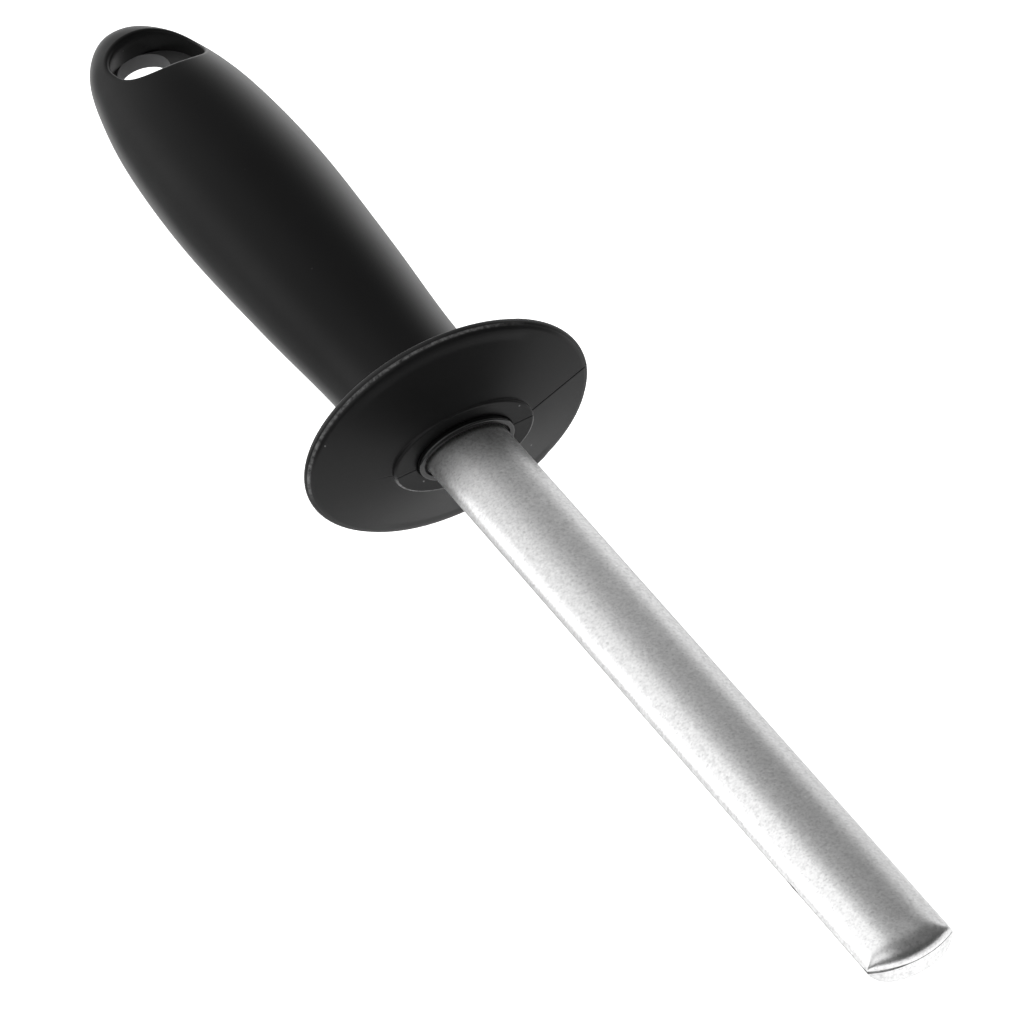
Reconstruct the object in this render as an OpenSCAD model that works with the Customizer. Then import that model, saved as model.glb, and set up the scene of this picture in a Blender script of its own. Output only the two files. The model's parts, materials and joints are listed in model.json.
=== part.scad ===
// Knife sharpening steel: oval abrasive-faced rod, dished oval guard, soft grip with a hanging eye.
// Millimetres. +X runs along the rod to its tip, +Y across its width, +Z out of its broad upper face.
// Origin: where the rod's axis crosses the front face of the guard's collar.

/* [Rod] */
// Rod length from the collar face to the crown of the tip
rod_len = 173; // [120:1:300]
// Rod width, side to side
rod_w = 17; // [14:0.5:18]
// Rod thickness, broad face to broad face
rod_t = 7.8; // [6:0.2:9]
// How far the tip is crowned in plan
tip_crown = 2.5; // [1:0.5:4]
// Abrasive layer thickness at the rod's sides
layer = 0.68; // [0.4:0.02:1]
// Width of the seam between the two abrasive faces
seam = 0.4; // [0.2:0.1:0.8]

/* [Guard] */
// Guard width, side to side
guard_w = 59.8; // [50:0.2:70]
// Guard height
guard_h = 41.2; // [36:0.2:50]
// How far the guard's front falls back from its virtual peak to its rim
guard_fall = 10.6; // [8:0.2:14]
// Rim thickness
rim_t = 2.2; // [1.8:0.2:4]
// Raised collar width
collar_w = 29.6; // [26:0.4:32]
// Raised collar height
collar_h = 16.1; // [14:0.1:18]

/* [Grip] */
// Depth of the grip's front face behind the collar face
grip_front = 5.6; // [5:0.1:7]
// Grip length behind its front face
grip_len = 150; // [140:1:170]
// Grip width just behind the guard
neck_w = 27.4; // [26:0.2:30]
// Grip width at the palm swell
palm_w = 33.2; // [30:0.2:38]
// Grip thickness as a share of its width
flatness = 0.8; // [0.76:0.01:0.9]
// Height the grip's end rises above the rod's axis
grip_rise = 3.1; // [0:0.1:6]

/* [Hanging eye] */
// Radius of the hanging hole
eye_r = 5.4; // [4:0.1:5.6]
// Distance of the hole's axis from the end of the grip
eye_inset = 14.4; // [13:0.1:16]
// Thickness of the web the hole is bored through
web_t = 3.3; // [2.5:0.1:4]
// Pocket length along the grip
pocket_l = 20; // [18:0.2:22]
// Pocket width across the grip
pocket_w = 18.6; // [16:0.2:20]
// Gap between the hole's far edge and the pocket's end wall
pocket_lip = 0.3; // [0.2:0.1:1]
// How far the web sits below the grip's centre line
web_drop = 0.6; // [0:0.1:1.2]

/* [Inside] */
// Width of the tang
tang_w = 10; // [8:0.5:12]
// Thickness of the tang
tang_t = 5; // [4:0.5:6]
// Depth of the tang's end behind the collar face
tang_end = 100; // [80:1:105]
// Diameter of the pins that lock the tang
pin_d = 4; // [3:0.5:5]
// Distance of the first pin behind the collar face
pin_first = 42; // [35:1:50]
// Distance between the pins
pin_pitch = 38; // [30:1:45]

/* [Hidden] */
$fn = 96;
cut = 1;
rod_r = rod_w / 2;
squash = rod_t / rod_w;
crown_r = (pow(rod_r, 2) + pow(tip_crown, 2)) / (2 * tip_crown);
crown_x = rod_len - crown_r;
end_over = 0.3;
end_top = [6.3, 2.8];
end_bottom = [2.4, 1.4];
end_step = 15;
rod_in = 18;
ferrule_back = 20;
ferrule_lip = 1.2;
ferrule_edge = 0.35;
ferrule_wall = 1.6;
seal_gap = 0.5;
seal_back = 6;
seal_front = 0.3;
guard_r = guard_w / 2;
guard_squash = guard_h / guard_w;
collar_edge = 0.2;
collar_depth = 3;
collar_step = 0.3;
peak_x = 3.9;
rim_front = peak_x - guard_fall;
hub_r = 0.63 * guard_r;
groove_d = 0.1;
groove_w = 0.2;
eye_x = -(grip_front + grip_len - eye_inset);
eye_z = grip_rise - web_drop;
pocket_x = eye_x - eye_r - pocket_lip + pocket_l / 2;
flare_run = 8;
flare_depth = 7;
flare_in = 0.7;
tab_border = 1.4;
tab_root = 110;
core_w = 22.8;
core_h = 15;
core_end = 118;
pin_len = core_h - 1;
ring_points = 40;
span_steps = 4;
roundness = 2.2;

black_soft = [0.10, 0.10, 0.11];
black_hard = [0.14, 0.14, 0.15];
grey_nylon = [0.24, 0.24, 0.25];
steel = [0.62, 0.63, 0.65];
grit = [0.76, 0.77, 0.79];

// Turns a [radius, x] profile about the rod's axis in four quarter turns that meet on the planes
// y = 0 and z = 0, then flattens it to an oval.
module turned_oval(profile, flat) {
    scale([1, 1, flat])
        rotate([0, 90, 0])
            for (quarter = [0:3])
                rotate([0, 0, 90 * quarter])
                    rotate_extrude(angle = 90)
                        polygon(profile);
}

// Oval bar along X from x0 to x1, a and b its half width and half height, narrowed by "by" at x1.
module oval_bar(x0, x1, a, b, by = 0) {
    translate([x0, 0, 0])
        scale([1, 1, b / a])
            rotate([0, 90, 0])
                cylinder(r1 = a, r2 = a - by, h = x1 - x0);
}

// Side view of the rod's end as [x, z], set in by "inset": rounded over the upper face along a long
// ellipse and over the lower face along a short one. end_top and end_bottom hold their half axes.
function end_profile(inset) =
    let (
        x1 = rod_len + end_over - inset,
        k = (rod_r - inset) / rod_r,
        z1 = rod_t / 2 + layer * squash / 2,
        top = [for (a = [0:end_step:90])
            [x1 - end_top[0] * (1 - sin(a)), k * (z1 - end_top[1] * (1 - cos(a)))]],
        bottom = [for (a = [90:-end_step:0])
            [x1 - end_bottom[0] * (1 - sin(a)), -k * (z1 - end_bottom[1] * (1 - cos(a)))]]
    )
    concat([[-rod_in - cut, -rod_w], [-rod_in - cut, rod_w], [top[0][0], rod_w]], top, bottom,
           [[bottom[len(bottom) - 1][0], -rod_w]]);

// Oval bar of the rod from x = -back, with its end crowned in plan and rounded in side view. All of
// it is set in by "inset".
module rod_blank(inset, back) {
    r = rod_r - inset;
    intersection() {
        oval_bar(-back, rod_len + cut, r, r * squash);
        union() {
            translate([-rod_in - cut, -rod_w, -rod_w])
                cube([crown_x + rod_in + cut, 2 * rod_w, 2 * rod_w]);
            translate([crown_x, 0, -rod_w])
                cylinder(r = crown_r - inset, h = 2 * rod_w);
        }
        rotate([90, 0, 0])
            linear_extrude(height = 2 * rod_w, center = true)
                polygon(end_profile(inset));
    }
}

// Half of the abrasive layer: the part on one side of the seam, side = 1 above and -1 below.
module abrasive_half(side) {
    difference() {
        rod_blank(0, rod_in);
        rod_blank(layer, rod_in + cut / 2);
        translate([-rod_in - cut, -rod_w, side > 0 ? seam / 2 - rod_w : -seam / 2])
            cube([rod_len + rod_in + 2 * cut, 2 * rod_w, rod_w]);
    }
}

module pin_bodies(extra) {
    for (i = [0, 1])
        translate([-pin_first - i * pin_pitch, 0, -pin_len / 2 - extra])
            cylinder(d = pin_d, h = pin_len + 2 * extra, $fn = 48);
}

module tang_body() {
    translate([-tang_end, -tang_w / 2, -tang_t / 2])
        cube([tang_end - rod_in + cut / 2, tang_w, tang_t]);
}

// Steel bar and tang in one piece.
module rod_core() {
    color(steel)
        difference() {
            union() {
                rod_blank(layer, rod_in);
                tang_body();
            }
            pin_bodies(cut);
        }
}

module upper_abrasive_face() {
    color(grit)
        abrasive_half(1);
}

module lower_abrasive_face() {
    color(grit)
        abrasive_half(-1);
}

// Dark sealing ring sunk between the rod and the ferrule's lip.
module rod_seal() {
    color(black_soft)
        difference() {
            oval_bar(-seal_back, seal_front, rod_r + seal_gap, rod_t / 2 + seal_gap);
            oval_bar(-seal_back - cut, seal_front + cut, rod_r, rod_t / 2);
        }
}

module ferrule_outer(x0, x1) {
    oval_bar(x0, x1, rod_r + ferrule_wall, rod_t / 2 + ferrule_wall);
}

// Sleeve that grips the rod and stands proud of the collar as a thin lip.
module rod_ferrule() {
    color(black_hard)
        difference() {
            union() {
                ferrule_outer(-ferrule_back, ferrule_lip - ferrule_edge);
                oval_bar(ferrule_lip - ferrule_edge, ferrule_lip,
                         rod_r + ferrule_wall, rod_t / 2 + ferrule_wall, ferrule_edge);
            }
            oval_bar(-ferrule_back - cut, ferrule_lip + cut, rod_r, rod_t / 2);
            oval_bar(-seal_back, ferrule_lip + cut, rod_r + seal_gap, rod_t / 2 + seal_gap);
        }
}

// Half profile of the guard as [radius, x]: flat top, front slope, rounded rim, hollow back, hub.
// The visible skin lies "under" its nominal place.
function guard_profile(under) =
    let (
        rim_r = rim_t / 2,
        skin_r = rim_r - under,
        top_x = -collar_step - under,
        flat_r = (peak_x + collar_step) * guard_r / guard_fall
    )
    concat(
        [[0, top_x], [flat_r, top_x]],
        [for (a = [70:-20:-90]) [guard_r - rim_r + skin_r * cos(a), rim_front - rim_r + skin_r * sin(a)]],
        [[hub_r, -grip_front], [0, -grip_front]]
    );

// Fine groove round the guard and across its collar, on the plane where the mould's halves meet.
module parting_groove() {
    difference() {
        translate([-guard_r, -guard_w, -groove_w / 2])
            cube([guard_w, 2 * guard_w, groove_w]);
        turned_oval(guard_profile(groove_d), guard_squash);
        oval_bar(-collar_depth, -groove_d, collar_w / 2 - groove_d, collar_h / 2 - groove_d);
    }
}

// Dished oval guard with its flat raised collar.
module oval_guard() {
    color(black_hard)
        difference() {
            union() {
                turned_oval(guard_profile(0), guard_squash);
                oval_bar(-collar_depth, -collar_edge, collar_w / 2, collar_h / 2);
                oval_bar(-collar_edge, 0, collar_w / 2, collar_h / 2, collar_edge);
            }
            parting_groove();
            ferrule_outer(-grip_front - cut, cut);
        }
}

// Control sections of the grip: [depth behind the collar face, half width, half thickness].
function grip_controls() =
    let (n = neck_w / 2, p = palm_w / 2, f = flatness, e = grip_front + grip_len)
    [
        [grip_front, n + 0.1, f * n + 0.1],
        [grip_front + 24, n, f * n],
        [grip_front + 54, (n + 2 * p) / 3 - 0.2, f * (n + 2 * p) / 3 - 0.2],
        [grip_front + 86, p, f * p],
        [e - 37, p - 1.1, f * p - 0.8],
        [e - 19, p - 3.8, f * p - 3.6],
        [e - 9.2, p - 6.8, f * p - 6.4],
        [e - 2.6, p - 11.4, f * p - 9.4],
        [e, 0, 0]
    ];

// Point at share t of the span that starts at control i, on a smooth curve through all controls.
function on_span(c, i, t) =
    let (
        last = len(c) - 1,
        p1 = c[i],
        p2 = c[i + 1],
        p0 = i == 0 ? 2 * p1 - p2 : c[i - 1],
        p3 = i + 1 == last ? [c[last - 1][0], -c[last - 1][1], -c[last - 1][2]] : c[i + 2]
    )
    0.5 * (2 * p1 + (p2 - p0) * t + (2 * p0 - 5 * p1 + 4 * p2 - p3) * t * t
        + (3 * p1 - p0 - 3 * p2 + p3) * t * t * t);

// Height of the grip's centre line at a depth behind the collar face.
function grip_centre(depth) =
    let (run = grip_len - eye_inset)
    grip_rise * max(0, depth - grip_front - 10) / (run - 10);

function signed_power(v, k) = sign(v) * pow(abs(v), k);

function grip_ring(s) = [
    for (k = [0:ring_points - 1])
        let (a = 360 * k / ring_points)
        [-s[0],
         s[1] * signed_power(cos(a), 2 / roundness),
         grip_centre(s[0]) + s[2] * signed_power(sin(a), 2 / roundness)]
];

// Closed skin of the whole grip, lofted through its sections to a single end point.
module grip_body() {
    c = grip_controls();
    spans = len(c) - 1;
    rings = spans * span_steps;
    sections = [for (i = [0:spans - 1]) for (j = [0:span_steps - 1]) on_span(c, i, j / span_steps)];
    points = [for (s = sections) for (p = grip_ring(s)) p];
    end_point = [-c[spans][0], 0, grip_centre(c[spans][0])];
    n = ring_points;
    sides = [
        for (r = [0:rings - 2]) for (k = [0:n - 1])
            let (a = r * n + k, b = r * n + (k + 1) % n)
            for (f = [[a, b, b + n], [a, b + n, a + n]]) f
    ];
    front = [[for (k = [0:n - 1]) n - 1 - k]];
    back = [for (k = [0:n - 1]) [(rings - 1) * n + k, (rings - 1) * n + (k + 1) % n, rings * n]];
    polyhedron(points = concat(points, [end_point]), faces = concat(front, sides, back), convexity = 4);
}

// Upright oval plug centred on the pocket, a and b its half length and half width.
module pocket_plug(a, b, z0, z1) {
    translate([pocket_x, 0, z0])
        scale([1, b / a, 1])
            cylinder(r = a, h = z1 - z0);
}

// Slanted end of the pocket's lower half, which leaves the hole open to a view along the rod.
module pocket_flare() {
    z1 = eye_z - web_t / 2 + 0.3 * web_t;
    a = pocket_l / 2 - flare_in;
    b = pocket_w / 2 - flare_in;
    hull() {
        pocket_plug(a, b, z1 - cut / 10, z1);
        translate([-flare_run, 0, 0])
            pocket_plug(a, b, z1 - flare_depth - cut, z1 - flare_depth);
    }
}

// Outside of the rigid core: an oval bar, and the flat tab that carries the eye.
module core_outside() {
    oval_bar(-core_end, -grip_front, core_w / 2, core_h / 2);
    translate([pocket_x, -pocket_w / 2, eye_z - web_t / 2])
        cube([-pocket_x - tab_root, pocket_w, web_t]);
    pocket_plug(pocket_l / 2 + tab_border, pocket_w / 2 + tab_border, eye_z - web_t / 2, eye_z + web_t / 2);
}

module eye_hole() {
    translate([eye_x, 0, eye_z - web_t / 2 - cut])
        cylinder(r = eye_r, h = web_t + 2 * cut);
}

// Rigid nylon core moulded round the tang, with the web of the hanging eye.
module handle_core() {
    color(grey_nylon)
        difference() {
            core_outside();
            ferrule_outer(-ferrule_back, 0);
            tang_body();
            pin_bodies(2 * cut);
            eye_hole();
        }
}

// Soft overmoulded grip, open over the eye on both sides.
module soft_grip() {
    color(black_soft)
        difference() {
            grip_body();
            core_outside();
            pocket_plug(pocket_l / 2, pocket_w / 2, eye_z - palm_w, eye_z + palm_w);
            pocket_flare();
        }
}

// Two steel pins through the core and the tang.
module tang_pins() {
    color(steel)
        pin_bodies(0);
}

rod_core();
upper_abrasive_face();
lower_abrasive_face();
rod_seal();
rod_ferrule();
oval_guard();
handle_core();
soft_grip();
tang_pins();
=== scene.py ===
import json
import math
import random

import bmesh
import bpy
import numpy as np
from mathutils import Matrix, Vector
from mathutils.noise import noise


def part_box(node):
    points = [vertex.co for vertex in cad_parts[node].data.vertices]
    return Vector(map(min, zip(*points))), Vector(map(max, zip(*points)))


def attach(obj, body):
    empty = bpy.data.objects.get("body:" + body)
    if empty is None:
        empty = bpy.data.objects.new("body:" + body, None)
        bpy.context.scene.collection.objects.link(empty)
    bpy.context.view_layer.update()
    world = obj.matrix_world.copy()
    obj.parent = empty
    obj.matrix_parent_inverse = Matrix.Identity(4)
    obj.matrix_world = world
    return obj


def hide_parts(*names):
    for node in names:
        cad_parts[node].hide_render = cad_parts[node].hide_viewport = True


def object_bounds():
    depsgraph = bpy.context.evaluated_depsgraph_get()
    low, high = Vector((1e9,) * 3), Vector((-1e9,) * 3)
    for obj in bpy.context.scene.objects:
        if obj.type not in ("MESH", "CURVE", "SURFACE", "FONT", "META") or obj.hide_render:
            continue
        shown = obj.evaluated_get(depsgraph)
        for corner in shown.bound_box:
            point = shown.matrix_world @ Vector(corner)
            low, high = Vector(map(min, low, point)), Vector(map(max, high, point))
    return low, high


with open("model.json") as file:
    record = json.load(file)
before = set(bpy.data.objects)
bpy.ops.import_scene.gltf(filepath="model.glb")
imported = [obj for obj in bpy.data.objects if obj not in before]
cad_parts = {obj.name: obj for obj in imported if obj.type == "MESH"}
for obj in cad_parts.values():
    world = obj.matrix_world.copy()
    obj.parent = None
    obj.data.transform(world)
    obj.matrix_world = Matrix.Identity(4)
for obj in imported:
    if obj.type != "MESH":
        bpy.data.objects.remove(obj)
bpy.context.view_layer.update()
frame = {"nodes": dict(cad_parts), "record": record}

MM = 0.001


def corners(node):
    """Lowest and highest corner of a CAD node in millimetres."""
    lo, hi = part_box(node)
    return [v / MM for v in lo], [v / MM for v in hi]


# ---------------------------------------------------------------- sizes read from the frame, in mm
FACE_LO, FACE_HI = corners("upper_abrasive_face")
BAR_LO = corners("rod_core")[0]
LIP_LO, LIP_HI = corners("rod_ferrule")
SEAL_LO, SEAL_HI = corners("rod_seal")
GRIP_LO, GRIP_HI = corners("soft_grip")
CORE_HI = corners("handle_core")[1]
EYE = [m for m in frame["record"]["mounts"] if m["name"] == "hang_hole"][0]
EYE_X = EYE["pos_m"][0] / MM
EYE_Z = EYE["pos_m"][2] / MM
EYE_R = EYE["dims"]["r_mm"]
WEB_T = EYE["dims"]["length_mm"]

ROD_B = FACE_HI[2]
ROD_TIP = round(FACE_HI[0], 3)
ROD_BACK = FACE_LO[0]
SEAM = FACE_LO[2]
CORE_A, CORE_B = round(CORE_HI[1], 3), round(CORE_HI[2], 3)

# ---------------------------------------------------------------- design sizes no box shows, in mm
ROD_A = 8.5                         # half width of the rod, across the closed seam
LAYER = 0.68                        # thickness of the abrasive layer
TANG_W, TANG_T = 10.0, 5.0          # the steel bar's flat tang
CORE_END = -118.0                   # end of the handle core's thick part
TAB_ROOT, TAB_BORDER = -110.0, 1.4  # start of its thin web, and the web's border round the pocket


# ---------------------------------------------------------------- mesh helpers
def new_piece(name, verts, faces, node, slot, sharp_deg=None):
    """Makes a mesh object from millimetre points, joins doubled points and faces it outward. It
    stands in for a CAD node."""
    mesh = bpy.data.meshes.new(name)
    mesh.from_pydata([[c * MM for c in v] for v in verts], [], faces)
    bm = bmesh.new()
    bm.from_mesh(mesh)
    bmesh.ops.remove_doubles(bm, verts=bm.verts, dist=0.002 * MM)
    bmesh.ops.dissolve_degenerate(bm, dist=0.0005 * MM, edges=bm.edges)
    bmesh.ops.recalc_face_normals(bm, faces=bm.faces)
    bm.to_mesh(mesh)
    bm.free()
    obj = bpy.data.objects.new(name, mesh)
    bpy.context.scene.collection.objects.link(obj)
    smooth_shade(mesh, sharp_deg)
    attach(obj, "root")
    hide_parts(node)
    return obj


def smooth_shade(mesh, sharp_deg):
    """Smooth shading, with edges left sharp where the faces turn by more than an angle."""
    mesh.polygons.foreach_set("use_smooth", [True] * len(mesh.polygons))
    if sharp_deg is not None:
        mesh.set_sharp_from_angle(angle=math.radians(sharp_deg))


def grid_faces(rows, cols, first=0, wrap=False, flip=False):
    """Quads over a rows by cols grid of points numbered row by row from first."""
    faces = []
    for r in range(rows - 1):
        near, far = first + r * cols, first + (r + 1) * cols
        for c in range(cols if wrap else cols - 1):
            d = (c + 1) % cols
            q = [near + c, near + d, far + d, far + c]
            faces.append(q[::-1] if flip else q)
    return faces


def clamp(value):
    """The value, held between 0 and 1."""
    return max(0.0, min(1.0, value))


# heights at which the points of every oval stay next to the parting plane
FINE_Z = (0.0, 0.05, 0.1, 0.16, 0.25, 0.4, 0.65, 1.0)
EVEN_FROM_DEG, EVEN_COUNT = 12.0, 22


def quarter_angles(b):
    """Angles from 0 to 90 degrees for an oval of half height b: close to z = 0 the points keep
    fixed heights, so that a line along the parting plane stays equally wide at every size."""
    first = math.radians(EVEN_FROM_DEG)
    out = [math.asin(min(0.999, z / b)) for z in FINE_Z]
    last_z, next_z = FINE_Z[-1], b * math.sin(first)
    for k in (1, 2, 3):
        out.append(math.asin((last_z + (next_z - last_z) * k / 4) / b))
    out += [first + (math.pi / 2 - first) * k / EVEN_COUNT for k in range(EVEN_COUNT + 1)]
    return out


def full_angles(b):
    """The same angles mirrored all the way round."""
    q = quarter_angles(b)
    half = q + [math.pi - a for a in q[-2::-1]]
    return half + [2 * math.pi - a for a in half[-2:0:-1]]


def oval_stack(name, rings, surface=None, **more):
    """Closed skin through oval rings (half width, half height, x), the last joined to the first.
    x may be a function of y and z. surface moves each finished point."""
    verts, cols = [], 0
    for a, b, x in rings:
        angles = full_angles(b)
        cols = len(angles)
        for t in angles:
            y, z = a * math.cos(t), b * math.sin(t)
            p = [x(y, z) if callable(x) else x, y, z]
            verts.append(surface(p) if surface else p)
    faces = grid_faces(len(rings), cols, wrap=True)
    last = (len(rings) - 1) * cols
    for c in range(cols):
        d = (c + 1) % cols
        faces.append([last + c, last + d, d, c])
    return new_piece(name, verts, faces, **more)


def arc(cx, cy, r, a0, a1, steps):
    """Points on a circle arc, angles in degrees."""
    turns = [math.radians(a0 + (a1 - a0) * k / steps) for k in range(steps + 1)]
    return [(cx + r * math.cos(t), cy + r * math.sin(t)) for t in turns]


# ---------------------------------------------------------------- guard
GUARD_A, GUARD_B = 29.9, 20.6
RIM_R = 1.1
COLLAR_A, COLLAR_B = 14.8, 8.05
HOLE_A, HOLE_B = LIP_HI[1], LIP_HI[2]
GRIP_FRONT = GRIP_HI[0]
# the dished front is a cone from PEAK_X on the axis to RIM_X at the rim, always below the collar
PEAK_X, RIM_X = 3.9, -6.7
SLOPE = (PEAK_X - RIM_X) / GUARD_A
LEAST_DROP = 0.3
# radii of the bore's and the collar's edges, and the small fillet at the collar's foot
BORE_EDGE, COLLAR_EDGE = 0.25, 0.5
FOOT_GAP, FOOT_R, FOOT_RISE = 0.02, 0.3, 0.22
# half width of the hub that meets the grip, and the step inside its border
HUB_A, HUB_STEP = 0.63 * GUARD_A, 0.6
# parting plane: the hub's back stays untouched this far out; the marks start at a y and grow over
# a length; the halves lean back over a height; the line's depth and half height; the soft rise
# below it
HUB_REACH = 18.0
MARK_FROM_Y, MARK_GROW = -18.0, 5.0
LEAN, LEAN_RUN = 0.16, 3.2
LINE_DEPTH, LINE_HALF = 0.09, 0.1
BELOW_RISE, BELOW_RUN = 0.02, 1.5
FACING_X = -8.3                     # what lies behind this isn't part of the front


def cone_x(y, z):
    """Height of the guard's dished front over a point of its plan."""
    r = math.hypot(y, z * GUARD_A / GUARD_B)
    return min(-LEAST_DROP, PEAK_X - SLOPE * r)


def parting(p):
    """The two mould halves lean back a little from the parting plane and leave a fine line
    there."""
    x, y, z = p
    if x < GRIP_FRONT + 0.01 and abs(y) < HUB_REACH:
        return p
    facing = 1.0 if x > FACING_X else 0.0
    shown = clamp((y - MARK_FROM_Y) / MARK_GROW)
    lean = LEAN * (1 - math.exp(-abs(z) / LEAN_RUN)) * facing * shown
    line = -LINE_DEPTH * math.exp(-(z / LINE_HALF) ** 2) * shown
    if z < 0:
        line += BELOW_RISE * math.exp(z / BELOW_RUN) * shown
    r = math.hypot(y, z * GUARD_A / GUARD_B)
    return [x - lean + line * facing, y * (1 + line * 0.6 / max(r, 1.0)), z]


def guard_rings():
    """Rings of the guard: its bore, collar, dished front, rim and hollow back, in this order."""
    rings = []
    k = GUARD_B / GUARD_A
    # bore through the guard, from the back to the collar face
    for x in (GRIP_FRONT, -4.0, -2.0, -0.6):
        rings.append((HOLE_A, HOLE_B, x))
    for c, s in arc(0, 0, BORE_EDGE, 180, 90, 4)[1:]:
        rings.append((HOLE_A + BORE_EDGE + c, HOLE_B + BORE_EDGE + c, -BORE_EDGE + s))
    # flat collar face, rounded edge, wall and small fillet on to the cone
    for f in (0.3, 0.65, 0.95):
        a = HOLE_A + BORE_EDGE + (COLLAR_A - COLLAR_EDGE - HOLE_A - BORE_EDGE) * f
        b = HOLE_B + BORE_EDGE + (COLLAR_B - COLLAR_EDGE - HOLE_B - BORE_EDGE) * f
        rings.append((a, b, 0.0))
    for deg in (90, 72, 54, 36, 18, 0):
        c, s = math.cos(math.radians(deg)), math.sin(math.radians(deg))

        def edge(y, z, s=s):
            r = min(COLLAR_EDGE, -cone_x(y, z) * 0.8)
            return -r + r * s
        inset = COLLAR_EDGE * (1 - c)
        rings.append((COLLAR_A - inset, COLLAR_B - inset, edge))
    for deg in (0, 22, 45, 68, 90):
        c, s = math.cos(math.radians(deg)), math.sin(math.radians(deg))

        def foot(y, z, s=s):
            return cone_x(y, z) + FOOT_RISE * (1 - s) * min(1.0, -cone_x(y, z))
        out = FOOT_GAP + FOOT_R * (1 - c)
        rings.append((COLLAR_A + out, COLLAR_B + out, foot))
    # dished front out to the rim
    rim_a = GUARD_A - RIM_R
    edge_a = rim_a + RIM_R * math.cos(math.radians(70))
    start_a, start_b = COLLAR_A + FOOT_GAP + FOOT_R, COLLAR_B + FOOT_GAP + FOOT_R
    steps = 18
    for i in range(1, steps + 1):
        f = i / steps
        a, b = start_a + (edge_a - start_a) * f, start_b + (edge_a * k - start_b) * f
        rings.append((a, b, cone_x))
    # rounded rim
    for c, s in arc(rim_a, RIM_X - RIM_R, RIM_R, 66, -90, 16):
        rings.append((c, c * k, s))
    # hollow back and hub
    back = RIM_X - 2 * RIM_R
    for f in (0.2, 0.4, 0.6, 0.8, 0.93):
        a = rim_a + (HUB_A - rim_a) * f
        rings.append((a, a * k, back + (GRIP_FRONT - back) * f))
    flat_a = HUB_A - HUB_STEP
    for f in (0.0, 0.3, 0.7, 0.999):
        a, b = flat_a + (HOLE_A - flat_a) * f, flat_a * k + (HOLE_B - flat_a * k) * f
        rings.append((a, b, GRIP_FRONT))
    return rings


guard = oval_stack("guard_skin", guard_rings(), surface=parting, node="oval_guard",
                   slot="hard_black", sharp_deg=60)


# ---------------------------------------------------------------- ferrule lip
LIP_ROUND, LIP_EDGE = 0.42, 0.25    # radii of the lip's outer and inner edge


def ferrule_rings():
    """Rings of the sleeve: its bore with the seal's pocket, the rounded lip, its outside."""
    a, b = LIP_HI[1], LIP_HI[2]
    front, back = LIP_HI[0], LIP_LO[0]
    gap = SEAL_HI[1] - ROD_A
    seal_a, seal_b = ROD_A + gap, ROD_B + gap
    rings = [(ROD_A, ROD_B, back), (ROD_A, ROD_B, SEAL_LO[0]), (seal_a, seal_b, SEAL_LO[0])]
    rings += [(seal_a, seal_b, x) for x in (-3.0, 0.0, front - LIP_EDGE)]
    for c, s in arc(0, 0, LIP_EDGE, 180, 90, 3)[1:]:
        rings.append((seal_a + LIP_EDGE + c, seal_b + LIP_EDGE + c, front - LIP_EDGE + s))
    for c, s in arc(0, 0, LIP_ROUND, 90, 0, 6):
        rings.append((a - LIP_ROUND + c, b - LIP_ROUND + c, front - LIP_ROUND + s))
    rings += [(a, b, x) for x in (0.3, -1.0, -5.0, back)]
    return rings


ferrule = oval_stack("ferrule_sleeve", ferrule_rings(), node="rod_ferrule", slot="hard_black",
                     sharp_deg=60)


# ---------------------------------------------------------------- rod
# seen from above, the tip is a flat arc: its rise over the rod's width, its radius and centre
TIP_CROWN = 2.5
CROWN_R = (ROD_A ** 2 + TIP_CROWN ** 2) / (2 * TIP_CROWN)
CROWN_X = ROD_TIP - CROWN_R
TIP_START = ROD_TIP - 9.0
# rounding over the end of the upper (1) and the lower (-1) half: its run along X and its drop
END_SHAPE = {1: (6.6, 3.45), -1: (2.0, 1.25)}
END_TOP_Z = 4.05
END_BLEND = {1: 0.42, -1: 0.15}
LEAST_BLEND = 0.03
# the seam is drawn narrower than in the CAD and opens at one corner of the tip
SEAM_SHOWN = SEAM * 0.35
CORNER_GAP, CORNER_REACH = 0.2, 1.2
STRAIGHT_ROWS, TIP_ROWS, WALL_ROWS = 500, 60, 9
# share of the turn's points that crowd towards the two seams
CROWDED = 0.35
# grit: height of single grains and of the slow waves under them, and how deep it dips at the seam
GRAIN, WAVE, WAVES_PER_MM = 0.0045, 0.006, 1.3
SEAM_DIP = 0.03


def end_height(x, y, r, side):
    """Height left by the rounding over the rod's end, at a plan point, for a bar of half width
    r."""
    run, drop = END_SHAPE[side]
    d = max(0.0, CROWN_R - (ROD_A - r) - math.hypot(x - CROWN_X, y))
    f = max(0.0, 1 - d / run)
    return (END_TOP_Z - drop * (1 - math.sqrt(max(0.0, 1 - f * f)))) * r / ROD_A


def softer_min(p, q, k):
    """The lower of two heights, blended over about k where they meet."""
    return min(p, q) - k * math.log(1 + math.exp(-abs(p - q) / k))


def seam_gap(x, y):
    """Half height of the seam: it opens a little at one corner of the tip."""
    inward = CROWN_R - math.hypot(x - CROWN_X, y)
    near = math.exp(-(inward / CORNER_REACH) ** 2) * clamp((-y - 1.0) / 4)
    return SEAM_SHOWN + CORNER_GAP * near


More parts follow.
